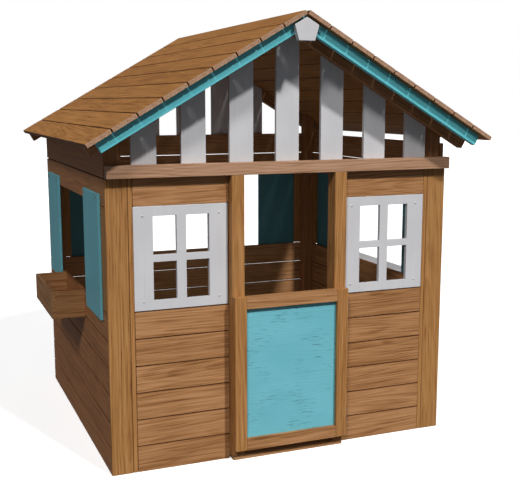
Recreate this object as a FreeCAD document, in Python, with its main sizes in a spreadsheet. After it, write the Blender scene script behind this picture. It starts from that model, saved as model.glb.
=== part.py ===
"""A child's wooden playhouse with a gabled roof, window shutters, a flower box and a half door.

Millimetres. The front wall faces -Y, +Z is up, and the ground is z = 0. Positions in the formulas are
taken from the middle of the front wall's face at ground level, and every piece is then moved by the same
shift, which puts the origin at the bottom centre of the whole house's box.
"""

import FreeCAD, Part
import Sketcher
import os
import re

from FreeCAD import Placement, Rotation, Vector

# The driving sizes. Every one can be changed by itself.
SIZES = {
    "wall_width": 1090.0,           # front and back walls, over the corner boards
    "wall_depth": 1000.0,           # front face to back face of the walls
    "board_thickness": 12.0,        # wall boards, window panels and gable slats
    "board_width": 77.3,            # wall boards, across the grain
    "board_gap": 2.4,               # open joint between neighbouring boards
    "opening_height": 296.8,        # window band, between the lower and upper boards
    "side_post_width": 63.0,        # upright boards beside the side openings
    "corner_post_side": 38.0,       # square posts inside the corners
    "corner_board_width": 62.5,     # wide upright board on each front corner
    "corner_strip_width": 12.5,     # narrow strip beside it
    "corner_joint": 1.2,            # groove on each side of that strip
    "trim_depth": 26.0,             # header, jambs and rafters stand this far in front of the wall
    "header_height": 36.0,
    "doorway_width": 291.0,         # clear, between the jambs
    "jamb_width": 39.0,
    "jamb_depth": 50.0,
    "jamb_clearance": 1.0,          # boards to jambs
    "threshold_height": 14.0,
    "threshold_setback": 4.0,       # behind the jambs' front face
    "threshold_inset": 3.0,         # inside the jambs' outer faces
    "batten_width": 56.0,           # uprights behind the front boards
    "batten_thickness": 19.0,
    "window_clearance": 3.5,        # window panel to jamb
    "window_strip_clearance": 0.6,  # window panel to corner strip
    "window_top_clearance": 0.6,    # window panel to the board above
    "pane_width": 69.0,
    "pane_height": 111.0,
    "muntin_width": 28.6,           # upright bar between the panes
    "muntin_height": 20.0,          # level bar between the panes
    "window_bottom_margin": 28.0,
    "slat_width": 73.0,             # white gable slats
    "slat_pitch": 144.5,
    "roof_pitch": 30.0,             # degrees
    "eave_overhang": 76.0,          # roof edge beyond the side walls
    "roof_overhang_front": 136.0,
    "roof_overhang_rear": 60.0,
    "plank_thickness": 12.0,
    "plank_gap": 3.0,
    "ridge_clearance": 0.5,         # each side of the centre line
    "rafter_depth": 38.0,           # square to the slope
    "rafter_end_setback": 10.0,     # rafter ends short of the eave
    "rafter_clearance": 9.2,        # side wall's top to the rafter's underside
    "fascia_height": 33.0,
    "fascia_thickness": 18.0,
    "fascia_setback": 23.0,         # behind the planks' front ends
    "fascia_end_setback": 28.0,     # fascia ends short of the eave
    "ornament_thickness": 18.0,
    "ornament_half_width": 37.0,
    "ornament_foot_half_width": 24.3,
    "ornament_height": 64.0,
    "ornament_drop": 8.0,           # below the planks' underside at the ridge
    "fit_clearance": 1.0,           # uprights to the planks' underside
    "shutter_width": 214.0,         # left wall's shutters
    "shutter_width_right": 180.0,
    "shutter_width_back": 160.0,
    "shutter_thickness": 8.0,
    "shutter_overlap_bottom": 29.2,  # over the board below the opening
    "shutter_overlap_top": 33.0,    # over the board above the opening
    "shutter_margin_left": 61.0,    # left wall's shutters to the house's corners
    "shutter_margin_right": 70.0,   # right wall's shutters to the house's corners
    "shutter_margin_back": 75.0,    # back wall's shutters to the house's corners
    "flower_box_depth": 103.0,      # out from the wall
    "flower_box_height": 84.0,
    "flower_box_rise": 5.8,         # rim above the board below the opening
    "flower_box_gap": 56.0,         # between the box and the shutters
    "flower_box_wall": 12.0,
    "shelf_depth": 63.0,            # serving shelf, out from the right wall
    "shelf_thickness": 12.0,
    "shelf_gap": 2.0,               # between the shelf and the shutters
    "bracket_side": 50.0,
    "bracket_toe": 12.5,            # square ends of the brackets' slanted side
    "bracket_inset": 60.0,          # from the shelf's ends
    "door_overlap": 38.5,           # half door over each jamb
    "door_bottom": 35.5,
    "door_height": 468.5,
    "door_thickness": 21.0,
    "door_clearance": 1.0,          # door to jambs
    "stile_width": 37.0,
    "rail_height": 36.5,
    "door_panel_thickness": 5.0,
    "door_panel_recess": 13.0,      # behind the frame's front face
    "panel_groove_depth": 6.0,
    "panel_clearance": 0.2,
    "hinge_height": 60.0,
    "hinge_inset": 62.0,            # hinge's middle to the door's top or bottom edge
    "hinge_leaf_thickness": 1.5,
    "hinge_leaf_width": 19.0,       # from the pin
    "hinge_knuckle_radius": 3.5,
    "hinge_pin_radius": 1.5,
    "hinge_pin_clearance": 0.06,
    "hinge_pin_head_radius": 2.8,
    "hinge_pin_head_height": 1.2,
    "hinge_axis_offset": 4.5,       # outside the door's edge
    "hinge_knuckle_clearance": 0.4,
    "hinge_screw_spacing": 36.0,
    "hinge_screw_reach": 13.0,      # pin to screws
    "screw_head_radius": 3.4,
    "screw_head_height": 1.8,
    "screw_rim_height": 0.7,        # straight edge of the head
    "screw_crown_radius": 2.0,      # flat top of the head
    "screw_shank_radius": 1.7,
    "screw_length": 18.0,           # under the head
    "screw_point_length": 5.0,
    "screw_slot_length": 4.0,
    "screw_slot_width": 0.8,
    "screw_slot_depth": 1.0,
    "window_screw_inset": 27.0,
    "shutter_screw_inset": 20.0,
    "shutter_screw_drop": 14.0,
}

# Counts that the loops use.
LOWER_ROWS = 6
UPPER_ROWS = 2
SLATS = 7
PLANKS = 9

# The house's two sides along X.
SIDES = ((-1, "left"), (1, "right"))

# Sizes and levels that follow from the ones above.
DERIVED = {
    "half_wall": "wall_width / 2",
    "row_pitch": "board_width + board_gap",
    "sill_level": f"{LOWER_ROWS} * row_pitch - board_gap",
    "opening_bottom": f"{LOWER_ROWS} * row_pitch",
    "opening_top": "opening_bottom + opening_height",
    "upper_start": "opening_top + board_gap",
    "header_bottom": "upper_start + row_pitch",
    "side_wall_top": f"upper_start + {UPPER_ROWS} * row_pitch - board_gap",
    "slope": "roof_pitch * 1deg",
    "half_span": "half_wall + eave_overhang",
    "slope_length": "half_span / cos(slope)",
    "ridge_level": "side_wall_top + rafter_clearance + half_wall * tan(slope)"
                   " + (plank_thickness + rafter_depth) / cos(slope)",
    "ridge_setback": "(ridge_clearance + plank_thickness * sin(slope)) / cos(slope)",
    "plank_pitch": f"(slope_length - ridge_setback + plank_gap) / {PLANKS}",
    "roof_length": "roof_overhang_front + wall_depth + roof_overhang_rear",
    "strip_start": "corner_board_width + corner_joint",
    "siding_start": "strip_start + corner_strip_width + corner_joint",
    "jamb_inner": "doorway_width / 2",
    "jamb_outer": "jamb_inner + jamb_width",
    "siding_length": "half_wall - siding_start - jamb_outer - jamb_clearance",
    "window_width": "half_wall - strip_start - corner_strip_width - window_strip_clearance"
                    " - jamb_outer - window_clearance",
    "window_height": "upper_start - opening_bottom - window_top_clearance",
    "window_side_margin": "(window_width - 2 * pane_width - muntin_width) / 2",
    "side_start": "board_thickness + side_post_width",
    "shutter_height": "opening_height + board_gap + board_gap + shutter_overlap_bottom"
                      " + shutter_overlap_top",
    "shutter_bottom": "sill_level - shutter_overlap_bottom",
    "box_length": "wall_depth - 2 * (shutter_margin_left + shutter_width + flower_box_gap)",
    "box_start": "shutter_margin_left + shutter_width + flower_box_gap",
    "box_bottom": "sill_level + flower_box_rise - flower_box_height",
    "shelf_start": "shutter_margin_right + shutter_width_right + shelf_gap",
    "shelf_length": "wall_depth - 2 * shelf_start",
    "door_half_width": "jamb_inner + door_overlap",
    "door_front": "trim_depth + door_clearance + door_thickness",
    "panel_front": "door_front - door_panel_recess",
    "groove_half": "door_panel_thickness / 2 + panel_clearance",
    "groove_middle": "panel_front - door_panel_thickness / 2",
    "panel_bite": "panel_groove_depth - panel_clearance",
    "hinge_x": "door_half_width + hinge_axis_offset",
    "hinge_y": "trim_depth + door_clearance / 2",
    "knuckle_length": "hinge_height / 3",
    "shift_x": "(max(half_wall + flower_box_depth; half_span) - half_span) / 2",
    "shift_y": "(roof_overhang_front - wall_depth - roof_overhang_rear) / 2",
}

doc = FreeCAD.newDocument("playhouse")
sheet = doc.addObject("Spreadsheet::Sheet", "Sizes")
nodes = []


def fill_sheet():
    """Write the driving sizes into the sheet, one named row each."""
    for row, (alias, value) in enumerate(SIZES.items(), start=1):
        sheet.set(f"A{row}", alias)
        sheet.set(f"B{row}", str(value))
        sheet.setAlias(f"B{row}", alias)
    doc.recompute()


def formula(text):
    """Spell a formula out in the sheet's own names."""
    def spell(match):
        word = match.group(0)
        if word in DERIVED:
            return "(" + formula(DERIVED[word]) + ")"
        return "Sizes." + word if word in SIZES else word
    return re.sub(r"[a-z]+(?:_[a-z]+)*", spell, str(text))


def number(text):
    """The present value of a formula."""
    value = sheet.evalExpression(formula(text))
    return float(getattr(value, "Value", value))


def place(piece, start):
    """Bind a piece's position to its formulas, moved into the house's own frame."""
    shifts = ("shift_x", "shift_y", "0")
    for axis, text, shift in zip("xyz", start, shifts):
        piece.setExpression(f"Placement.Base.{axis}", formula(f"({text}) + {shift}"))


def keep(piece, name):
    """List a finished piece as a node of the house."""
    piece.Label = name
    nodes.append(piece)
    return piece


def board(name, start, size):
    """A straight board: its lowest corner and its sizes along X, Y and Z."""
    box = doc.addObject("Part::Box", name)
    for side, text in zip(("Length", "Width", "Height"), size):
        box.setExpression(side, formula(text))
    place(box, start)
    return box


def cylinder(name, start, radius, height):
    """An upright cylinder from the middle of its lower face."""
    rod = doc.addObject("Part::Cylinder", name)
    rod.setExpression("Radius", formula(radius))
    rod.setExpression("Height", formula(height))
    place(rod, start)
    return rod


def group(name, members):
    """Several separate pieces of one kind, kept as one node."""
    compound = doc.addObject("Part::Compound", name)
    compound.Links = members
    return keep(compound, name)


def add_outline(sketch, points):
    """Draw one closed outline whose corners are held by formulas."""
    corners = [Vector(number(u), number(v), 0) for u, v in points]
    first = sketch.GeometryCount
    count = len(corners)
    for i, corner in enumerate(corners):
        sketch.addGeometry(Part.LineSegment(corner, corners[(i + 1) % count]), False)
    for i in range(count):
        sketch.addConstraint(Sketcher.Constraint("Coincident", first + i, 2, first + (i + 1) % count, 1))
    for i, (u, v) in enumerate(points):
        for kind, text, value in (("DistanceX", u, corners[i].x), ("DistanceY", v, corners[i].y)):
            index = sketch.addConstraint(Sketcher.Constraint(kind, -1, 1, first + i, 1, value))
            sketch.setExpression(f"Constraints[{index}]", formula(text))


def prism(name, plane, outlines, start, length):
    """A piece with the given outlines in one plane, padded along the plane's positive axis."""
    body = doc.addObject("PartDesign::Body", name)
    sketch = body.newObject("Sketcher::SketchObject", name + "_outline")
    face = [f for f in body.Origin.OriginFeatures if f.Role == plane + "_Plane"][0]
    sketch.AttachmentSupport = [(face, "")]
    sketch.MapMode = "FlatFace"
    for points in outlines:
        add_outline(sketch, points)
    pad = body.newObject("PartDesign::Pad", name + "_pad")
    pad.Profile = sketch
    pad.setExpression("Length", formula(length))
    pad.Reversed = plane == "XZ"
    place(body, start)
    return body


def rectangle(left, bottom, width, height):
    """The four corners of an upright rectangle."""
    right = f"({left}) + ({width})"
    top = f"({bottom}) + ({height})"
    return [(left, bottom), (right, bottom), (right, top), (left, top)]


def on_slope(side, along, depth):
    """A point of the roof's end view: a distance down the slope and a depth square to it."""
    x = f"{side} * (({along}) * cos(slope) - ({depth}) * sin(slope))"
    z = f"ridge_level - ({along}) * sin(slope) - ({depth}) * cos(slope)"
    return x, z


def at_ridge(side, depth):
    """A point of a plumb cut beside the centre line, at a depth square to the slope."""
    x = f"{side} * ridge_clearance"
    z = f"ridge_level - ridge_clearance * tan(slope) - ({depth}) / cos(slope)"
    return x, z


def under_planks(x):
    """The height that an upright at x reaches below the planks."""
    return f"ridge_level - abs({x}) * tan(slope) - plank_thickness / cos(slope) - fit_clearance"


def build_roof():
    """Planks, rafters, fascias and the ridge ornament."""
    for side, hand in SIDES:
        planks = []
        for i in range(PLANKS):
            upper = f"ridge_setback + {i} * plank_pitch"
            lower = f"{upper} + plank_pitch - plank_gap"
            outline = [
                on_slope(side, upper, "0"),
                on_slope(side, lower, "0"),
                on_slope(side, lower, "plank_thickness"),
                on_slope(side, upper, "plank_thickness"),
            ]
            start = ("0", "-roof_overhang_front", "0")
            planks.append(prism(f"plank_{hand}_{i + 1}", "XZ", [outline], start, "roof_length"))
        group(f"roof_planks_{hand}", planks)
        rafter = [
            at_ridge(side, "plank_thickness"),
            on_slope(side, "slope_length - rafter_end_setback", "plank_thickness"),
            on_slope(side, "slope_length - rafter_end_setback", "plank_thickness + rafter_depth"),
            at_ridge(side, "plank_thickness + rafter_depth"),
        ]
        for end, y in (("front", "-trim_depth"), ("rear", "wall_depth + board_thickness")):
            name = f"{end}_rafter_{hand}"
            keep(prism(name, "XZ", [rafter], ("0", y, "0"), "trim_depth"), name)
        fascia = [
            at_ridge(side, "plank_thickness"),
            on_slope(side, "slope_length - fascia_end_setback", "plank_thickness"),
            on_slope(side, "slope_length - fascia_end_setback", "plank_thickness + fascia_height"),
            at_ridge(side, "plank_thickness + fascia_height"),
        ]
        start = ("0", "fascia_setback - roof_overhang_front", "0")
        keep(prism(f"fascia_{hand}", "XZ", [fascia], start, "fascia_thickness"), f"fascia_{hand}")
    build_ornament()


def build_ornament():
    """The five-sided plaque that covers the fascias' joint."""
    top = "ridge_level - plank_thickness / cos(slope) - ornament_drop"
    shoulder = f"{top} - ornament_half_width * tan(slope)"
    foot = f"{top} - ornament_height"
    outline = [
        ("0", top),
        ("-ornament_half_width", shoulder),
        ("-ornament_foot_half_width", foot),
        ("ornament_foot_half_width", foot),
        ("ornament_half_width", shoulder),
    ]
    start = ("0", "fascia_setback - roof_overhang_front - ornament_thickness", "0")
    keep(prism("gable_ornament", "XZ", [outline], start, "ornament_thickness"), "gable_ornament")


def build_slats(name, y, bottom):
    """One gable's row of upright slats, their tops cut to the roof's slope."""
    slats = []
    for i in range(SLATS):
        middle = f"({i} - {(SLATS - 1) / 2}) * slat_pitch"
        left = f"({middle}) - slat_width / 2"
        right = f"({middle}) + slat_width / 2"
        outline = [(left, bottom), (right, bottom), (right, under_planks(right))]
        if 2 * i == SLATS - 1:
            outline.append((middle, under_planks(middle)))
        outline.append((left, under_planks(left)))
        slats.append(prism(f"{name}_{i + 1}", "XZ", [outline], ("0", y, "0"), "board_thickness"))
    group(name, slats)


def build_corner_posts():
    """Square posts inside the four corners, their tops cut to the roof's slope."""
    for side, hand in SIDES:
        outer = f"{side} * (half_wall - board_thickness)"
        inner = f"{side} * (half_wall - board_thickness - corner_post_side)"
        outline = [(inner, "0"), (outer, "0"), (outer, under_planks(outer)), (inner, under_planks(inner))]
        rows = (("front", "board_thickness"),
                ("rear", "wall_depth - board_thickness - corner_post_side"))
        for end, y in rows:
            name = f"corner_post_{end}_{hand}"
            keep(prism(name, "XZ", [outline], ("0", y, "0"), "corner_post_side"), name)


def stack(name, start, size, first_level, rows):
    """Boards laid one above another with open joints, as one node."""
    x, y = start
    length_x, length_y = size
    boards = []
    for i in range(rows):
        level = f"{first_level} + {i} * row_pitch"
        boards.append(board(f"{name}_{i + 1}", (x, y, level), (length_x, length_y, "board_width")))
    group(name, boards)


def mirrored_start(side, distance, width):
    """Where a piece starts along X when its nearer edge lies a distance outside the centre line."""
    return f"{distance}" if side > 0 else f"-({distance}) - ({width})"


def build_front_wall():
    """The boards on both sides of the doorway, and the battens behind them."""
    top = "header_bottom - board_gap"
    strips, top_boards, battens = [], [], []
    for side, hand in SIDES:
        name = f"corner_board_{hand}"
        x = mirrored_start(side, "half_wall - corner_board_width", "corner_board_width")
        keep(board(name, (x, "0", "0"), ("corner_board_width", "board_thickness", top)), name)
        x = mirrored_start(side, "half_wall - strip_start - corner_strip_width", "corner_strip_width")
        size = ("corner_strip_width", "board_thickness", top)
        strips.append(board(f"corner_strip_{hand}", (x, "0", "0"), size))
        x = mirrored_start(side, "jamb_outer + jamb_clearance", "siding_length")
        stack(f"front_siding_{hand}", (x, "0"), ("siding_length", "board_thickness"), "0", LOWER_ROWS)
        size = ("siding_length", "board_thickness", "board_width")
        top_boards.append(board(f"front_top_board_{hand}", (x, "0", "upper_start"), size))
        places = ("jamb_outer", "half_wall - board_thickness - corner_post_side - batten_width")
        for i, distance in enumerate(places):
            start = (mirrored_start(side, distance, "batten_width"), "board_thickness", "0")
            size = ("batten_width", "batten_thickness", top)
            battens.append(board(f"front_batten_{hand}_{i + 1}", start, size))
        build_window(side, hand)
    group("corner_strips", strips)
    group("front_top_boards", top_boards)
    group("front_battens", battens)


def build_window(side, hand):
    """A flat white panel with four panes cut out of it."""
    left = mirrored_start(side, "jamb_outer + window_clearance", "window_width")
    outlines = [rectangle(left, "opening_bottom", "window_width", "window_height")]
    for column in range(2):
        for row in range(2):
            x = f"({left}) + window_side_margin + {column} * (pane_width + muntin_width)"
            z = f"opening_bottom + window_bottom_margin + {row} * (pane_height + muntin_height)"
            outlines.append(rectangle(x, z, "pane_width", "pane_height"))
    name = f"window_panel_{hand}"
    keep(prism(name, "XZ", outlines, ("0", "0", "0"), "board_thickness"), name)


def build_doorway():
    """Header, jambs and threshold."""
    start = ("-half_wall", "-trim_depth", "header_bottom")
    keep(board("front_header", start, ("wall_width", "trim_depth", "header_height")), "front_header")
    for side, hand in SIDES:
        start = (mirrored_start(side, "jamb_inner", "jamb_width"), "-trim_depth", "threshold_height")
        size = ("jamb_width", "jamb_depth", "header_bottom - threshold_height")
        keep(board(f"door_jamb_{hand}", start, size), f"door_jamb_{hand}")
    start = ("threshold_inset - jamb_outer", "threshold_setback - trim_depth", "0")
    size = ("2 * (jamb_outer - threshold_inset)", "jamb_depth - threshold_setback", "threshold_height")
    keep(board("threshold", start, size), "threshold")


def build_side_wall(side, hand):
    """Boards and upright end boards of one side wall."""
    x = "-half_wall" if side < 0 else "half_wall - board_thickness"
    size = ("board_thickness", "wall_depth - 2 * board_thickness")
    stack(f"{hand}_siding", (x, "board_thickness"), size, "0", LOWER_ROWS)
    stack(f"{hand}_top_boards", (x, "board_thickness"), size, "upper_start", UPPER_ROWS)
    ends = []
    for end, y in (("front", "board_thickness"), ("rear", "wall_depth - side_start")):
        size = ("board_thickness", "side_post_width", "opening_height")
        ends.append(board(f"{hand}_end_board_{end}", (x, y, "opening_bottom"), size))
    group(f"{hand}_end_boards", ends)


def build_back_wall():
    """Boards and upright end boards of the back wall, which laps over the side walls' ends."""
    y = "wall_depth - board_thickness"
    size = ("wall_width", "board_thickness")
    stack("back_siding", ("-half_wall", y), size, "0", LOWER_ROWS)
    stack("back_top_boards", ("-half_wall", y), size, "upper_start", UPPER_ROWS)
    ends = []
    for side, hand in SIDES:
        x = mirrored_start(side, "half_wall - board_width", "board_width")
        size = ("board_width", "board_thickness", "opening_height")
        ends.append(board(f"back_end_board_{hand}", (x, y, "opening_bottom"), size))
    group("back_end_boards", ends)


def shutter_places():
    """Every shutter's name, the wall it is on, where it starts along that wall, and its width."""
    rows = []
    sides = (("left", "shutter_margin_left", "shutter_width"),
             ("right", "shutter_margin_right", "shutter_width_right"))
    for hand, margin, width in sides:
        rows.append((f"shutter_{hand}_front", hand, margin, width))
        rows.append((f"shutter_{hand}_rear", hand, f"wall_depth - {margin} - {width}", width))
    width = "shutter_width_back"
    for side, hand in SIDES:
        distance = f"half_wall - shutter_margin_back - {width}"
        rows.append((f"shutter_back_{hand}", "back", mirrored_start(side, distance, width), width))
    return rows


def build_shutters():
    """Six fixed painted shutters, each with four screws into the boards behind."""
    screws = []
    for name, wall, along, width in shutter_places():
        if wall == "back":
            start = (along, "wall_depth", "shutter_bottom")
            size = (width, "shutter_thickness", "shutter_height")
        else:
            x = "-half_wall - shutter_thickness" if wall == "left" else "half_wall"
            start = (x, along, "shutter_bottom")
            size = ("shutter_thickness", width, "shutter_height")
        keep(board(name, start, size), name)
        screws += shutter_screws(name, wall, along, width)
    group("shutter_screws", screws)


def shutter_screws(name, wall, along, width):
    """Four screws through one shutter."""
    screws = []
    for i in range(2):
        for j in range(2):
            across = f"({along}) + shutter_screw_inset + {i} * ({width} - 2 * shutter_screw_inset)"
            level = f"shutter_bottom + shutter_screw_drop + {j} * (shutter_height - 2 * shutter_screw_drop)"
            spots = {
                "left": ("-half_wall - shutter_thickness", across, level),
                "right": ("half_wall + shutter_thickness", across, level),
                "back": (across, "wall_depth + shutter_thickness", level),
            }
            screws.append(screw(f"{name}_screw_{2 * i + j + 1}", wall, spots[wall]))
    return screws


def build_screw_pattern():
    """One wood screw, its head on +Z, standing with the underside of the head at z = 0."""
    body = doc.addObject("PartDesign::Body", "screw_pattern")
    sketch = body.newObject("Sketcher::SketchObject", "screw_profile")
    face = [f for f in body.Origin.OriginFeatures if f.Role == "XZ_Plane"][0]
    sketch.AttachmentSupport = [(face, "")]
    sketch.MapMode = "FlatFace"
    add_outline(sketch, [
        ("0", "-screw_length"),
        ("screw_shank_radius", "screw_point_length - screw_length"),
        ("screw_shank_radius", "0"),
        ("screw_head_radius", "0"),
        ("screw_head_radius", "screw_rim_height"),
        ("screw_crown_radius", "screw_head_height"),
        ("0", "screw_head_height"),
    ])
    turn = body.newObject("PartDesign::Revolution", "screw_turned")
    turn.Profile = sketch
    turn.ReferenceAxis = (sketch, ["V_Axis"])
    turn.Angle = 360.0
    cross = body.newObject("Sketcher::SketchObject", "screw_cross")
    level = [f for f in body.Origin.OriginFeatures if f.Role == "XY_Plane"][0]
    cross.AttachmentSupport = [(level, "")]
    cross.MapMode = "FlatFace"
    cross.setExpression("AttachmentOffset.Base.z", formula("screw_head_height"))
    long, wide = "screw_slot_length / 2", "screw_slot_width / 2"
    corners = [(wide, wide), (long, wide), (long, f"-{wide}"), (wide, f"-{wide}")]
    outline = []
    for quarter in range(4):
        turned = corners if quarter == 0 else [(v, f"-({u})") for u, v in turned]
        outline += turned[:3]
    add_outline(cross, outline)
    slot = body.newObject("PartDesign::Pocket", "screw_slot")
    slot.Profile = cross
    slot.setExpression("Length", formula("screw_slot_depth"))
    return body


def screw(name, facing, spot):
    """A copy of the wood screw whose head lies on a face with the given outlook."""
    outward = {"left": (-1, 0, 0), "right": (1, 0, 0), "back": (0, 1, 0), "front": (0, -1, 0)}[facing]
    link = doc.addObject("App::Link", name)
    link.LinkedObject = screw_pattern
    link.Placement = Placement(Vector(), Rotation(Vector(0, 0, 1), Vector(*outward)))
    place(link, spot)
    return link


def build_window_screws():
    """Four screws near each window panel's corners."""
    screws = []
    for side, hand in SIDES:
        left = mirrored_start(side, "jamb_outer + window_clearance", "window_width")
        for i in range(2):
            for j in range(2):
                x = f"({left}) + window_screw_inset + {i} * (window_width - 2 * window_screw_inset)"
                z = f"opening_bottom + window_screw_inset + {j} * (window_height - 2 * window_screw_inset)"
                screws.append(screw(f"window_screw_{hand}_{2 * i + j + 1}", "front", (x, "0", z)))
    group("window_screws", screws)


def build_flower_box():
    """An open-topped planter on the left wall, which is its back: front, ends and floor."""
    wall = "flower_box_wall"
    front_x = "-half_wall - flower_box_depth"
    inner_x = f"{front_x} + {wall}"
    inner_depth = f"flower_box_depth - {wall}"
    size = (wall, "box_length", "flower_box_height")
    keep(board("flower_box_front", (front_x, "box_start", "box_bottom"), size), "flower_box_front")
    ends = []
    for name, y in (("near", "box_start"), ("far", f"box_start + box_length - {wall}")):
        size = (inner_depth, wall, "flower_box_height")
        ends.append(board(f"flower_box_end_{name}", (inner_x, y, "box_bottom"), size))
    group("flower_box_ends", ends)
    start = (inner_x, f"box_start + {wall}", "box_bottom")
    size = (inner_depth, f"box_length - 2 * {wall}", wall)
    keep(board("flower_box_floor", start, size), "flower_box_floor")


def build_shelf():
    """The serving shelf outside the right wall's opening, on two brackets."""
    start = ("half_wall", "shelf_start", "sill_level - shelf_thickness")
    size = ("shelf_depth", "shelf_length", "shelf_thickness")
    keep(board("serving_shelf", start, size), "serving_shelf")
    top = "sill_level - shelf_thickness"
    outline = [
        ("half_wall", top),
        ("half_wall", f"{top} - bracket_side"),
        ("half_wall + bracket_toe", f"{top} - bracket_side"),
        ("half_wall + bracket_side", f"{top} - bracket_toe"),
        ("half_wall + bracket_side", top),
    ]
    places = ("shelf_start + bracket_inset",
              "shelf_start + shelf_length - bracket_inset - board_thickness")
    brackets = []
    for i, y in enumerate(places):
        brackets.append(prism(f"shelf_bracket_{i + 1}", "XZ", [outline], ("0", y, "0"), "board_thickness"))
    group("shelf_brackets", brackets)


def build_half_door():
    """Grooved stiles and rails round a thin painted panel."""
    for side, hand in SIDES:
        outer = f"{side} * door_half_width"
        inner = f"{side} * (door_half_width - stile_width)"
        bed = f"{side} * (door_half_width - stile_width + panel_groove_depth)"
        back = "-(trim_depth + door_clearance)"
        outline = [
            (outer, "-door_front"), (inner, "-door_front"),
            (inner, "-(groove_middle + groove_half)"), (bed, "-(groove_middle + groove_half)"),
            (bed, "groove_half - groove_middle"), (inner, "groove_half - groove_middle"),
            (inner, back), (outer, back),
        ]
        name = f"door_stile_{hand}"
        keep(prism(name, "XY", [outline], ("0", "0", "door_bottom"), "door_height"), name)
    rails = (("bottom", "door_bottom", 1), ("top", "door_bottom + door_height", -1))
    for name, edge, up in rails:
        far = f"{edge} + {up} * rail_height"
        bed = f"{edge} + {up} * (rail_height - panel_groove_depth)"
        outline = [
            ("-door_front", edge), ("-door_front", far),
            ("-(groove_middle + groove_half)", far), ("-(groove_middle + groove_half)", bed),
            ("groove_half - groove_middle", bed), ("groove_half - groove_middle", far),
            ("-(trim_depth + door_clearance)", far), ("-(trim_depth + door_clearance)", edge),
        ]
        start = ("stile_width - door_half_width", "0", "0")
        length = "2 * (door_half_width - stile_width)"
        keep(prism(f"door_rail_{name}", "YZ", [outline], start, length), f"door_rail_{name}")
    start = ("stile_width - door_half_width - panel_bite", "-panel_front",
             "door_bottom + rail_height - panel_bite")
    size = ("2 * (door_half_width - stile_width + panel_bite)", "door_panel_thickness",
            "door_height - 2 * (rail_height - panel_bite)")
    keep(board("door_panel", start, size), "door_panel")


def hinge_levels():
    """The level of each hinge's lower end."""
    low = "door_bottom + hinge_inset - hinge_height / 2"
    high = "door_bottom + door_height - hinge_inset - hinge_height / 2"
    return low, high


def hinge_leaf(name, start_x, start_y, level, thirds):
    """A flat leaf with its knuckles round the pin, bored for the pin and for two screws."""
    start = (start_x, start_y, level)
    parts = [board(f"{name}_plate", start, ("hinge_leaf_thickness", "hinge_leaf_width", "hinge_height"))]
    cuts = []
    room = "(hinge_knuckle_radius + hinge_knuckle_clearance)"
    for third in range(3):
        bottom = f"({level}) + {third} * knuckle_length"
        if third in thirds:
            start = ("hinge_x", "-hinge_y", f"{bottom} + hinge_knuckle_clearance / 2")
            height = "knuckle_length - hinge_knuckle_clearance"
            parts.append(cylinder(f"{name}_knuckle_{third}", start, "hinge_knuckle_radius", height))
        else:
            start = (start_x, f"-hinge_y - {room}", f"{bottom} - hinge_knuckle_clearance / 2")
            size = (f"hinge_axis_offset + {room}", f"2 * {room}",
                    "knuckle_length + hinge_knuckle_clearance")
            cuts.append(board(f"{name}_notch_{third}", start, size))
    radius = "hinge_pin_radius + hinge_pin_clearance"
    cuts.append(cylinder(f"{name}_bore", ("hinge_x", "-hinge_y", level), radius, "hinge_height"))
    joined = doc.addObject("Part::MultiFuse", name + "_joined")
    joined.Shapes = parts
    removed = doc.addObject("Part::MultiFuse", name + "_removed")
    removed.Shapes = cuts
    leaf = doc.addObject("Part::Cut", name)
    leaf.Base = joined
    leaf.Tool = removed
    return leaf


def hinge_screws(name, y, level, face):
    """Two screws through one leaf."""
    screws = []
    for i, side in enumerate((-1, 1)):
        z = f"({level}) + hinge_height / 2 + {side} * hinge_screw_spacing / 2"
        screws.append(screw(f"{name}_{i + 1}", "right", (face, y, z)))
    return screws


def build_hinges():
    """Two butt hinges on the outer edges of the right jamb and the half door."""
    jamb_leaves, door_leaves, pins, jamb_screws, door_screws = [], [], [], [], []
    jamb_y = "-hinge_y"
    door_y = "-hinge_y - hinge_leaf_width"
    for i, level in enumerate(hinge_levels()):
        jamb_leaves.append(hinge_leaf(f"jamb_leaf_{i + 1}", "jamb_outer", jamb_y, level, (0, 2)))
        door_leaves.append(hinge_leaf(f"door_leaf_{i + 1}", "door_half_width", door_y, level, (1,)))
        jamb_screws += hinge_screws(f"jamb_hinge_screw_{i + 1}", "hinge_screw_reach - hinge_y",
                                    level, "jamb_outer + hinge_leaf_thickness")
        door_screws += hinge_screws(f"door_hinge_screw_{i + 1}", "-hinge_screw_reach - hinge_y",
                                    level, "door_half_width + hinge_leaf_thickness")
        pins.append(hinge_pin(f"hinge_pin_{i + 1}", level))
    group("hinge_jamb_leaves", jamb_leaves)
    group("hinge_door_leaves", door_leaves)
    group("hinge_pins", pins)
    group("hinge_jamb_screws", jamb_screws)
    group("hinge_door_screws", door_screws)


def hinge_pin(name, level):
    """A pin with a head at each end."""
    clear = "hinge_knuckle_clearance / 2"
    ends = (f"({level}) - hinge_pin_head_height", f"({level}) + hinge_height")
    parts = [cylinder(f"{name}_rod", ("hinge_x", "-hinge_y", level), "hinge_pin_radius", "hinge_height")]
    for i, z in enumerate(ends):
        spot = ("hinge_x", "-hinge_y", z)
        parts.append(cylinder(f"{name}_head_{i}", spot, "hinge_pin_head_radius", "hinge_pin_head_height"))
    pin = doc.addObject("Part::MultiFuse", name)
    pin.Shapes = parts
    return pin


def check_document():
    """Stop if any object failed or any node's shape is empty or broken."""
    failed = [o.Name for o in doc.Objects if "Invalid" in o.State or "Error" in o.State]
    if failed:
        raise RuntimeError("failed objects: " + ", ".join(failed))
    for piece in nodes:
        if piece.Shape.isNull() or not piece.Shape.isValid() or not piece.Shape.Solids:
            raise RuntimeError("bad shape: " + piece.Label)


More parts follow.
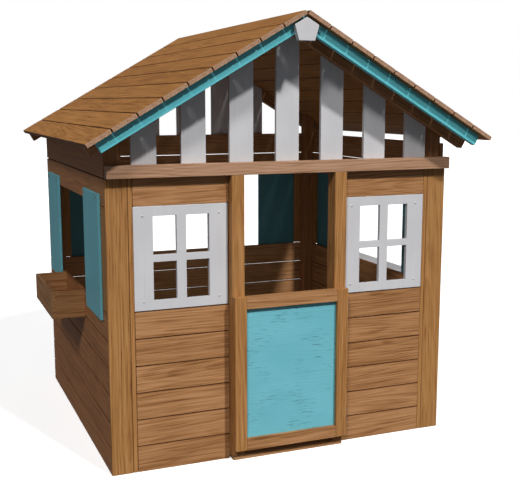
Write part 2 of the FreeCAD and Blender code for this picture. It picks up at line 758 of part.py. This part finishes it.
def export_nodes():
    """Write one STEP file for each node."""
    os.makedirs("parts", exist_ok=True)
    for piece in nodes:
        piece.Shape.exportStep(f"parts/{piece.Label}.step")
    print(len(nodes), "nodes,", sum(len(piece.Shape.Solids) for piece in nodes), "solids")


fill_sheet()
screw_pattern = build_screw_pattern()
build_roof()
build_slats("front_gable_slats", "0", "header_bottom")
build_slats("rear_gable_slats", "wall_depth", "header_bottom")
build_corner_posts()
build_front_wall()
for side, hand in SIDES:
    build_side_wall(side, hand)
build_doorway()
build_back_wall()
build_shutters()
build_window_screws()
build_flower_box()
build_shelf()
build_half_door()
build_hinges()
doc.recompute()
check_document()
export_nodes()
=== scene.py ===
"""A child's wooden playhouse in a plain studio: oiled boards, painted boards and zinc-plated hardware.

Metres, in the house's own frame: the front wall faces -Y, +Z is up, and the ground is z = 0.
"""

import math
from functools import partial

import bpy
from mathutils import Euler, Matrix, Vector


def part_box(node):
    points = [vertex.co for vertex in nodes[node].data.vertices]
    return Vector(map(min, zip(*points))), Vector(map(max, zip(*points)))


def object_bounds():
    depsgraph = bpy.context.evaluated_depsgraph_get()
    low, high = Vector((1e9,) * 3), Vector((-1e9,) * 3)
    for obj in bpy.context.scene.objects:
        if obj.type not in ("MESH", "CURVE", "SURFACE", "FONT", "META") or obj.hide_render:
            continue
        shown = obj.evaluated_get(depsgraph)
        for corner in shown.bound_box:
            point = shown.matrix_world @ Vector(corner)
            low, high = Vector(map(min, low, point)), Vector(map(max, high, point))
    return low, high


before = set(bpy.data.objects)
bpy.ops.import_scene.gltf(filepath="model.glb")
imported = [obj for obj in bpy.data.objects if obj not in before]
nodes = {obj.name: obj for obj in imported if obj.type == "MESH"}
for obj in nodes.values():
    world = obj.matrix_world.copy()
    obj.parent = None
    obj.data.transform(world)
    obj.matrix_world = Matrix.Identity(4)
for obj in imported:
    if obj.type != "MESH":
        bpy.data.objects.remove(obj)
cad_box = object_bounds()

# Sizes of the boards, the same as in the solids.
ROOF_PITCH = math.radians(30)
BOARD_GAP = 0.0024
PLANK_GAP = 0.003
PLANK_THICKNESS = 0.012
PLANKS = 9
SHUTTER_THICKNESS = 0.008
RAFTER_DEPTH = 0.038
FASCIA_HEIGHT = 0.033

# The rounding of sawn edges, and how sharp an edge has to be to get it.
EASED_EDGE = 0.0016
SHARP_EDGE = math.radians(40)
SAME_POINT = 1e-5

# The line where the two slopes' upper faces would meet,
# and how far down the slope from there the first plank starts.
RIDGE_X = sum(v.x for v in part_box("front_header")) / 2
RIDGE_SETBACK = (
    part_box("roof_planks_right")[0].x - RIDGE_X + PLANK_THICKNESS * math.sin(ROOF_PITCH)
) / math.cos(ROOF_PITCH)
RIDGE_Z = cad_box[1].z + RIDGE_SETBACK * math.sin(ROOF_PITCH)

# Base colours, linear.
WOOD_LIGHT = (0.475, 0.242, 0.118)
WOOD_MID = (0.362, 0.170, 0.070)
WOOD_DARK = (0.185, 0.072, 0.024)
WOOD_KNOT = (0.24, 0.100, 0.040)
END_GRAIN = (0.62, 0.40, 0.27)
WHITE = (0.603, 0.603, 0.622)
TURQUOISE = (0.160, 0.50, 0.58)
FASCIA_TURQUOISE = (0.125, 0.56, 0.63)
ZINC = (0.52, 0.53, 0.55)
ZINC_SCUFF = (0.36, 0.36, 0.37)
FLOOR_TONES = (0.80, 0.80, 0.80), (0.84, 0.84, 0.84)
NO_TINT = (1.0, 1.0, 1.0)

# Depths in the boards: growth rings, pale sawn ends, dark joints, and the painted shade on a shutter's face
# towards the room.
RING_SPACING = 0.0082
END_GRAIN_DEPTH = 0.0012
JOINT_SHADE = 0.0016
ROOM_SHADE_FROM, ROOM_SHADE_TO = SHUTTER_THICKNESS / 2 - 0.002, SHUTTER_THICKNESS / 2 - 0.0005

# Heights of the bumps for a full stroke of the pattern.
WOOD_BUMP, PAINT_BUMP, ZINC_BUMP = 0.0004, 0.0003, 0.0001

# Where the two lamps shine from, their strengths and their widths in degrees.
KEY_FROM, KEY_STRENGTH, KEY_WIDTH = (0.36, -1.0, 1.08), 2.32, 4.0
FILL_FROM, FILL_STRENGTH, FILL_WIDTH = (-0.68, -1.0, 1.03), 1.36, 9.0
LAMP_COLOUR = (1.0, 0.985, 0.97)
SKY_COLOUR, SKY_STRENGTH = (0.96, 0.98, 1.04), 0.13
FLOOR_SIZE, FLOOR_GLOW = 40.0, 0.62
ROOM_LIGHT_WATTS, ROOM_LIGHT_RADIUS, ROOM_LIGHT_RISE, ROOM_LIGHT_DEPTH = 0.6, 0.22, 0.15, 0.05


class Value:
    """A socket of a shader that can be used in sums."""

    def __init__(self, shader, socket):
        self.shader = shader
        self.socket = socket

    def math(self, operation, *others):
        inputs = dict(enumerate((self, *others)))
        return self.shader.node("ShaderNodeMath", {"operation": operation}, inputs)

    def __add__(self, other):
        return self.math("ADD", other)

    def __sub__(self, other):
        return self.math("SUBTRACT", other)

    def __mul__(self, other):
        return self.math("MULTIPLY", other)

    def __truediv__(self, other):
        return self.math("DIVIDE", other)

    def __rsub__(self, other):
        return self * -1 + other

    __radd__ = __add__
    __rmul__ = __mul__


class Shader:
    """A procedural material under construction."""

    def __init__(self, name):
        self.material = bpy.data.materials.new(name)
        self.material.use_nodes = True
        self.tree = self.material.node_tree
        self.surface = self.tree.nodes["Principled BSDF"]
        place = self.node("ShaderNodeTexCoord", output="Object")
        self.x, self.y, self.z = (
            self.node("ShaderNodeSeparateXYZ", inputs={0: place}, output=axis) for axis in "XYZ"
        )

    def node(self, kind, settings=None, inputs=None, output=0):
        """Add a node, make its settings, feed its sockets, and return one of its outputs."""
        made = self.tree.nodes.new(kind)
        for key, value in (settings or {}).items():
            if key == "stops":
                set_stops(made.color_ramp, value)
            else:
                setattr(made, key, value)
        for key, value in (inputs or {}).items():
            self.feed(made.inputs[key], value)
        return Value(self, made.outputs[output])

    def feed(self, socket, value):
        """Link a value to a socket, or set the socket to a number or a colour."""
        if isinstance(value, Value):
            self.tree.links.new(value.socket, socket)
        elif hasattr(value, "__len__") and len(value) == 3 and len(socket.default_value) == 4:
            socket.default_value = (*value, 1.0)
        else:
            socket.default_value = value

    def vector(self, x, y, z):
        return self.node("ShaderNodeCombineXYZ", inputs={0: x, 1: y, 2: z})

    def noise(self, x, y, z, detail=2.0, roughness=0.5):
        """Soft noise, 0..1, with about one wave for each step of 1 in the place given."""
        place = self.vector(x, y, z)
        inputs = {"Vector": place, "Scale": 1.0, "Detail": detail, "Roughness": roughness}
        return self.node("ShaderNodeTexNoise", inputs=inputs)

    def chances(self, *seeds):
        """Three even random numbers that stay the same all over one board."""
        colour = self.node("ShaderNodeTexWhiteNoise", inputs={0: self.vector(*seeds)}, output="Color")
        return [
            self.node("ShaderNodeSeparateColor", inputs={0: colour}, output=part)
            for part in ("Red", "Green", "Blue")
        ]

    def ramp(self, factor, stops):
        """A colour ramp from a list of (position, colour)."""
        return self.node("ShaderNodeValToRGB", {"stops": stops}, {0: factor})

    def span(self, value, low, high, start=0.0, end=1.0):
        """Value carried from low..high to start..end, smoothly and clamped."""
        inputs = {0: value, 1: low, 2: high, 3: start, 4: end}
        return self.node("ShaderNodeMapRange", {"interpolation_type": "SMOOTHSTEP"}, inputs)

    def mix(self, factor, first, second, blend="MIX"):
        settings = {"data_type": "RGBA", "blend_type": blend}
        return self.node("ShaderNodeMix", settings, {0: factor, 6: first, 7: second}, output=2)

    def bump(self, height, depth):
        """A bumped normal: depth in metres for a height of 1."""
        inputs = {"Strength": 1.0, "Distance": depth, "Height": height}
        return self.node("ShaderNodeBump", inputs=inputs)

    def finish(self, **sockets):
        """Feed the surface's own sockets, named with underscores, and return the material."""
        for key, value in sockets.items():
            self.feed(self.surface.inputs[key.replace("_", " ")], value)
        return self.material


def set_stops(ramp, stops):
    """Give a colour ramp its stops."""
    while len(ramp.elements) < len(stops):
        ramp.elements.new(0.5)
    for element, (position, colour) in zip(ramp.elements, stops):
        element.position = position
        element.color = (*colour, 1.0)


def board_axes(shader, name, grain, stack, rows):
    """Distances along, across and through a board, its place in its stack, and its half width."""
    low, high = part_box(name)
    places = {
        "X": (shader.x, low.x, high.x),
        "Y": (shader.y, low.y, high.y),
        "Z": (shader.z, low.z, high.z),
    }
    through_axis = ({"X", "Y", "Z"} - {grain, stack}).pop()
    along = places[grain][0]
    value, start, end = places[stack]
    pitch = (end - start + BOARD_GAP) / rows
    steps = (value - (start - BOARD_GAP / 2)) / pitch
    index = steps.math("FLOOR")
    across = (steps - index - 0.5) * pitch
    value, start, end = places[through_axis]
    return along, across, value - (start + end) / 2, index, (pitch - BOARD_GAP) / 2


def on_slope(shader, side):
    """Distances down one side of the roof from the ridge, and outward, square to it."""
    cosine, sine = math.cos(ROOF_PITCH), math.sin(ROOF_PITCH)
    outward = (shader.x - RIDGE_X) * side
    down = RIDGE_Z - shader.z
    return outward * cosine + down * sine, outward * sine - down * cosine


def plank_axes(shader, side):
    """The same as board_axes for the roof's planks, counted up the slope from the eave."""
    reach = (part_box("roof_planks_right")[1].x - RIDGE_X) / math.cos(ROOF_PITCH)
    pitch = (reach + PLANK_GAP - RIDGE_SETBACK) / PLANKS
    down_slope, outward = on_slope(shader, side)
    steps = (reach + PLANK_GAP / 2 - down_slope) / pitch
    index = steps.math("FLOOR")
    return shader.y, (steps - index - 0.5) * pitch, outward, index, (pitch - PLANK_GAP) / 2


def sloping_axes(shader, side, depth):
    """The same for one board that runs down the slope under the planks."""
    down_slope, outward = on_slope(shader, side)
    index = shader.x * 0.0
    return down_slope, outward + PLANK_THICKNESS + depth / 2, shader.y, index, depth


def grain_pattern(shader, axes, seed, fine=1.0):
    """Growth rings, streaks, flecks and fibres of a sawn board, each 0..1, and the board's random numbers."""
    along, across, through, index, _ = axes
    heart_side, heart_depth, lean = shader.chances(index, seed, 0.5)
    shift = index * 3.7 + seed
    slant = across + along * (lean - 0.5) * 0.10
    wander = shader.noise(along * 2.6, across * 11.0, through * 9.0 + shift)
    beside = across - (heart_side - 0.5) * 0.09
    below = through + heart_depth * 0.04 + 0.012 + along * (lean - 0.5) * 0.12
    radius = (beside * beside + below * below).math("SQRT") + (wander - 0.5) * 0.030
    ring = (radius / RING_SPACING).math("FRACT")
    rings = shader.span(ring, 0.1, 0.8) * (1 - shader.span(ring, 0.85, 1.0))
    broad_across, broad_through = slant * 60.0 * fine, through * 60.0 * fine + shift
    broad = shader.noise(along * 3.2, broad_across, broad_through, detail=4.0, roughness=0.65)
    thin = shader.noise(along * 4.0, slant * 240.0, through * 120.0 + shift + 9.0, roughness=0.6)
    streaks = broad * 0.5 + shader.span(thin, 0.30, 0.70) * 0.30 + 0.10
    flecks = shader.noise(along * 11.0, slant * 210.0, through * 60.0 + shift * 2.0, detail=1.0)
    flecks = shader.span(flecks, 0.56, 0.74)
    fibres = shader.noise(along * 9.0, across * 420.0, through * 420.0 + shift)
    return rings, streaks, flecks, fibres, (heart_side, heart_depth)


def oiled_wood(name, axes_of, seed, tint=NO_TINT, fine=1.0, contrast=2.0, ends=None, joints=False):
    """Planed softwood under a brown oil stain, with pale ends and dark joints where they are asked for."""
    shader = Shader(name)
    axes = axes_of(shader)
    along, across, through, _, half_width = axes
    rings, streaks, flecks, fibres, (first, second) = grain_pattern(shader, axes, seed, fine)
    board_tone = (first - 0.5) * 0.12 + (second - 0.5) * 0.06
    drift = shader.noise(along * 6.0, across * 14.0, through * 14.0 + seed + 3.0)
    lines = (rings - 0.5) * 0.20 + (streaks - 0.5) * contrast
    dark = 0.40 + lines + flecks * 0.30 + (fibres - 0.5) * 0.6 + (drift - 0.5) * 0.35
    stops = [(0.0, WOOD_LIGHT), (0.48, WOOD_MID), (1.0, WOOD_DARK)]
    colour = shader.ramp(dark + board_tone, stops)
    blotch = shader.noise(along * 9.0, across * 30.0, through * 20.0 + seed)
    colour = shader.mix(shader.span(blotch, 0.56, 0.80, 0.0, 0.30), colour, WOOD_KNOT)
    colour = shader.mix(1.0, colour, tint, "MULTIPLY")
    if ends:
        low, high = ends
        near_low = 1 - shader.span(along, low, low + END_GRAIN_DEPTH)
        near_end = near_low + shader.span(along, high - END_GRAIN_DEPTH, high)
        pores = shader.noise(along, across * 260.0, through * 260.0 + seed)
        colour = shader.mix(near_end, colour, shader.mix(pores, WOOD_DARK, END_GRAIN))
    if joints:
        from_edge = half_width - across.math("ABSOLUTE")
        colour = shader.mix(1 - shader.span(from_edge, 0.0, JOINT_SHADE), colour, WOOD_DARK)
    height = fibres * 0.5 + streaks * 0.5 - rings * 0.3
    return shader.finish(
        Base_Color=colour,
        Roughness=shader.span(dark, 0.1, 0.9, 0.66, 0.50),
        Normal=shader.bump(height, WOOD_BUMP),
        Specular_IOR_Level=0.25,
    )


def painted_wood(name, axes_of, seed, paint, grain_tone, dashes=0.0, room_side=0):
    """Satin paint on planed wood, darker along the fibres, with painted shade on a shutter's face towards the
    room.
    """
    shader = Shader(name)
    axes = axes_of(shader)
    rings, streaks, _, fibres, _ = grain_pattern(shader, axes, seed)
    along, across, through, _, _ = axes
    cloud = shader.noise(along * 9.0, across * 12.0, through * 12.0 + seed, detail=3.0)
    deep = tuple(c * grain_tone for c in paint)
    pale = tuple(min(1.0, c * 1.06 + 0.02) for c in paint)
    colour = shader.mix(shader.span(cloud, 0.35, 0.7, 0.0, 0.6), paint, pale)
    colour = shader.mix(shader.span(streaks, 0.5, 0.8, 0.0, 0.7), colour, deep)
    if dashes:
        mark = shader.noise(along * 26.0, across * 330.0, through * 8.0 + seed)
        patch = shader.noise(along * 9.0, across * 15.0, through * 8.0 + seed + 5.0)
        mark = shader.span(mark, 0.56, 0.70) * shader.span(patch, 0.42, 0.60)
        colour = shader.mix(mark * dashes, colour, tuple(c * 0.42 for c in paint))
    # Painted shade: the shutter's face towards the room, and its edges there, are darkened to stand in for
    # the shade inside the room.
    if room_side:
        room_face_shade = shader.span(through * room_side, ROOM_SHADE_FROM, ROOM_SHADE_TO)
        colour = shader.mix(room_face_shade, colour, tuple(c * 0.45 for c in paint))
    height = streaks * 0.6 + fibres * 0.4 - rings * 0.3
    return shader.finish(
        Base_Color=colour,
        Roughness=shader.span(cloud, 0.3, 0.7, 0.40, 0.52),
        Normal=shader.bump(height, PAINT_BUMP),
        Specular_IOR_Level=0.35,
    )


def zinc_plate(name):
    """Zinc-plated steel with a faint spangle and dull scuffs."""
    shader = Shader(name)
    spangle = shader.node(
        "ShaderNodeTexVoronoi",
        inputs={"Vector": shader.vector(shader.x, shader.y, shader.z), "Scale": 420.0},
        output="Color",
    )
    scuff = shader.noise(shader.x * 160.0, shader.y * 160.0, shader.z * 60.0, detail=4.0)
    colour = shader.mix(0.12, ZINC, spangle, "OVERLAY")
    colour = shader.mix(shader.span(scuff, 0.5, 0.75, 0.0, 0.4), colour, ZINC_SCUFF)
    return shader.finish(
        Base_Color=colour,
        Metallic=1.0,
        Roughness=shader.span(scuff, 0.3, 0.8, 0.28, 0.55),
        Normal=shader.bump(scuff, ZINC_BUMP),
    )


def boards(name, grain, stack, rows=1):
    """How a material finds the boards of a node."""
    return partial(board_axes, name=name, grain=grain, stack=stack, rows=rows)


# Each wooden node's grain axis, the axis its boards are stacked along, and how many there are.
HORIZONTAL = {
    "front_header": ("X", "Z", 1),
    "threshold": ("X", "Y", 1),
    "front_siding_left": ("X", "Z", 6),
    "front_siding_right": ("X", "Z", 6),
    "front_top_boards": ("X", "Z", 1),
    "back_siding": ("X", "Z", 6),
    "back_top_boards": ("X", "Z", 2),
    "left_siding": ("Y", "Z", 6),
    "left_top_boards": ("Y", "Z", 2),
    "right_siding": ("Y", "Z", 6),
    "right_top_boards": ("Y", "Z", 2),
    "door_rail_top": ("X", "Z", 1),
    "door_rail_bottom": ("X", "Z", 1),
    "flower_box_front": ("Y", "Z", 1),
    "flower_box_ends": ("X", "Z", 1),
    "flower_box_floor": ("Y", "X", 1),
    "shelf_brackets": ("X", "Z", 1),
}
UPRIGHT = {
    "corner_board_left": ("Z", "X", 1),
    "corner_board_right": ("Z", "X", 1),
    "corner_strips": ("Z", "X", 1),
    "front_battens": ("Z", "X", 1),
    "door_jamb_left": ("Z", "X", 1),
    "door_jamb_right": ("Z", "X", 1),
    "door_stile_left": ("Z", "X", 1),
    "door_stile_right": ("Z", "X", 1),
    "corner_post_front_left": ("Z", "X", 1),
    "corner_post_front_right": ("Z", "X", 1),
    "corner_post_rear_left": ("Z", "X", 1),
    "corner_post_rear_right": ("Z", "X", 1),
    "left_end_boards": ("Z", "Y", 1),
    "right_end_boards": ("Z", "Y", 1),
    "back_end_boards": ("Z", "X", 1),
}
WHITE_PAINTED = {
    "front_gable_slats": ("Z", "X", 7),
    "rear_gable_slats": ("Z", "X", 7),
    "window_panel_left": ("Z", "X", 1),
    "window_panel_right": ("Z", "X", 1),
    "gable_ornament": ("Z", "X", 1),
    "serving_shelf": ("Y", "X", 1),
}
TURQUOISE_PAINTED = {
    "door_panel": ("X", "Z", 1),
    "shutter_left_front": ("Z", "Y", 1),
    "shutter_left_rear": ("Z", "Y", 1),
    "shutter_right_front": ("Z", "Y", 1),
    "shutter_right_rear": ("Z", "Y", 1),
    "shutter_back_left": ("Z", "X", 1),
    "shutter_back_right": ("Z", "X", 1),
}
# The tint of each kind of board, how fine its streaks are and how strongly they show.
PLAIN_LOOK = (1.04, 1.06, 0.98), 1.0, 2.0
UPRIGHT_LOOK = (1.03, 1.01, 0.74), 1.9, 1.35
ROOF_LOOK = (1.03, 0.93, 0.55), 1.2, 1.7
# Painted shade: the left wall faces away from the key lamp and gets a darker, more saturated tint than the
# same boards on the other walls.
LEFT_SHADE_LOOK = (0.99, 0.88, 0.74), 1.0, 2.0
CORNER_LOOK = (1.02, 1.02, 0.76), 1.9, 1.35
POST_LOOK = (1.0, 0.95, 0.90), 1.9, 1.35
SPECIAL_LOOKS = {
    "front_header": ((1.18, 1.42, 2.0), 1.0, 1.0),
    "left_siding": LEFT_SHADE_LOOK,
    "left_top_boards": LEFT_SHADE_LOOK,
    "corner_board_left": CORNER_LOOK,
    "corner_board_right": CORNER_LOOK,
    "corner_post_front_left": POST_LOOK,
    "corner_post_front_right": POST_LOOK,
    "corner_post_rear_left": POST_LOOK,
    "corner_post_rear_right": POST_LOOK,
}
# The way from each shutter to the room, along the axis through it; the face on that side gets painted shade.
ROOM_SIDES = {
    "shutter_left_front": 1, "shutter_left_rear": 1,
    "shutter_right_front": -1, "shutter_right_rear": -1,
    "shutter_back_left": -1, "shutter_back_right": -1,
}
METAL = (
    "hinge_jamb_leaves", "hinge_door_leaves", "hinge_pins",
    "hinge_jamb_screws", "hinge_door_screws", "shutter_screws",
)


def soften_edges(name, width):
    """Ease a node's sharp edges, as planed and painted boards have."""
    joined = nodes[name].modifiers.new("joined_edges", "WELD")
    joined.merge_threshold = SAME_POINT
    bevel = nodes[name].modifiers.new("eased_edges", "BEVEL")
    bevel.width = width
    bevel.segments = 2
    bevel.limit_method = "ANGLE"
    bevel.angle_limit = SHARP_EDGE
    bevel.harden_normals = True


def dress(name, material, edge=None):
    """Give a node its material, and eased edges where it is a board."""
    piece = nodes[name]
    piece.data.materials.clear()
    piece.data.materials.append(material)
    if edge:
        soften_edges(name, edge)


def dress_walls():
    """The straight wooden boards of the walls, the door and the planter."""
    for seed, (name, (grain, stack, rows)) in enumerate({**HORIZONTAL, **UPRIGHT}.items(), start=1):
        look = SPECIAL_LOOKS.get(name, UPRIGHT_LOOK if name in UPRIGHT else PLAIN_LOOK)
        finder = boards(name, grain, stack, rows)
        material = oiled_wood(name + "_wood", finder, seed * 7.3, *look, joints=rows > 1)
        dress(name, material, EASED_EDGE)


def dress_roof():
    """Planks, rafters and painted fascias of both slopes."""
    for side, hand in ((-1, "left"), (1, "right")):
        name = "roof_planks_" + hand
        ends = [v.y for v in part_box(name)]
        planks = partial(plank_axes, side=side)
        material = oiled_wood(name + "_wood", planks, 40.0 + side, *ROOF_LOOK, ends, joints=True)
        dress(name, material, EASED_EDGE)
        for end in ("front", "rear"):
            name = f"{end}_rafter_{hand}"
            sloping = partial(sloping_axes, side=side, depth=RAFTER_DEPTH)
            dress(name, oiled_wood(name + "_wood", sloping, 50.0 + side), EASED_EDGE)
        name = "fascia_" + hand
        sloping = partial(sloping_axes, side=side, depth=FASCIA_HEIGHT)
        material = painted_wood(name + "_paint", sloping, 60.0 + side, FASCIA_TURQUOISE, 0.85)
        dress(name, material, EASED_EDGE)


def dress_painted():
    """The white slats, windows, plaque and shelf, and the turquoise door panel and shutters."""
    for seed, (name, (grain, stack, rows)) in enumerate(WHITE_PAINTED.items(), start=1):
        finder = boards(name, grain, stack, rows)
        dress(name, painted_wood(name + "_paint", finder, seed * 3.1, WHITE, 0.95), EASED_EDGE)
    for seed, (name, (grain, stack, rows)) in enumerate(TURQUOISE_PAINTED.items(), start=1):
        finder = boards(name, grain, stack, rows)
        marks = 0.75 if name == "door_panel" else 0.25
        room_side = ROOM_SIDES.get(name, 0)
        material = painted_wood(name + "_paint", finder, seed * 5.3, TURQUOISE, 0.86, marks, room_side)
        dress(name, material, EASED_EDGE)


def dress_metal():
    """Bare hinges and screws, and the windows' screws, which are painted over."""
    for name in METAL:
        dress(name, zinc_plate(name + "_zinc"))
    finder = boards("window_screws", "Z", "X")
    dress("window_screws", painted_wood("window_screws_paint", finder, 2.0, WHITE, 0.8))


def build_studio():
    """A pale floor, a plain white surround and soft light from the front."""
    bpy.ops.mesh.primitive_plane_add(size=FLOOR_SIZE)
    floor = bpy.context.object
    floor.name = "studio_floor"
    shader = Shader("studio_floor_paint")
    speckle = shader.noise(shader.x * 30.0, shader.y * 30.0, 0.0)
    floor.data.materials.append(shader.finish(
        Base_Color=shader.mix(speckle, *FLOOR_TONES),
        Roughness=0.9,
        Emission_Color=(1.0, 1.0, 1.0),
        Emission_Strength=FLOOR_GLOW,
    ))
    floor.visible_diffuse = False
    floor.visible_glossy = False

    world = bpy.data.worlds.new("studio")
    bpy.context.scene.world = world
    world.use_nodes = True
    tree = world.node_tree
    backdrop = tree.nodes["Background"]
    backdrop.inputs["Color"].default_value = (1.0, 1.0, 1.0, 1.0)
    sky = tree.nodes.new("ShaderNodeBackground")
    sky.inputs["Color"].default_value = (*SKY_COLOUR, 1.0)
    sky.inputs["Strength"].default_value = SKY_STRENGTH
    seen = tree.nodes.new("ShaderNodeLightPath")
    choose = tree.nodes.new("ShaderNodeMixShader")
    tree.links.new(seen.outputs["Is Camera Ray"], choose.inputs[0])
    tree.links.new(sky.outputs[0], choose.inputs[1])
    tree.links.new(backdrop.outputs[0], choose.inputs[2])
    tree.links.new(choose.outputs[0], tree.nodes["World Output"].inputs["Surface"])

    add_lamp("key", KEY_FROM, KEY_STRENGTH, KEY_WIDTH)
    add_lamp("fill", FILL_FROM, FILL_STRENGTH, FILL_WIDTH)
    add_room_light()


def add_lamp(name, source, strength, width):
    """A distant lamp that shines from the given side."""
    light = bpy.data.lights.new(name, "SUN")
    light.energy = strength
    light.angle = math.radians(width)
    light.color = LAMP_COLOUR
    lamp = bpy.data.objects.new(name, light)
    lamp.rotation_euler = Vector(source).to_track_quat("Z", "Y").to_euler()
    bpy.context.scene.collection.objects.link(lamp)


def add_room_light():
    """A weak soft lamp in the middle of the room, in place of the light that a pale floor would send up."""
    light = bpy.data.lights.new("room_light", "POINT")
    light.energy = ROOM_LIGHT_WATTS
    light.shadow_soft_size = ROOM_LIGHT_RADIUS
    lamp = bpy.data.objects.new("room_light", light)
    lamp.location = (RIDGE_X, ROOM_LIGHT_DEPTH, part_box("back_siding")[1].z + ROOM_LIGHT_RISE)
    lamp.visible_camera = False
    lamp.visible_glossy = False
    bpy.context.scene.collection.objects.link(lamp)


def place_camera():
    """The camera stands in front and to the left, a little below the ridge, and looks down a few degrees."""
    camera = bpy.data.cameras.new("camera")
    camera.lens = 61.75
    camera.sensor_width = 36.0
    camera.clip_end = 200.0
    holder = bpy.data.objects.new("camera", camera)
    holder.location = (-1.0457, -2.8718, 1.0658)
    holder.rotation_euler = Euler((math.radians(80.7793), 0.0, math.radians(-21.9645)))
    bpy.context.scene.collection.objects.link(holder)
    bpy.context.scene.camera = holder


place_camera()
build_studio()
dress_walls()
dress_roof()
dress_painted()
dress_metal()
bpy.context.scene.view_settings.view_transform = "Standard"
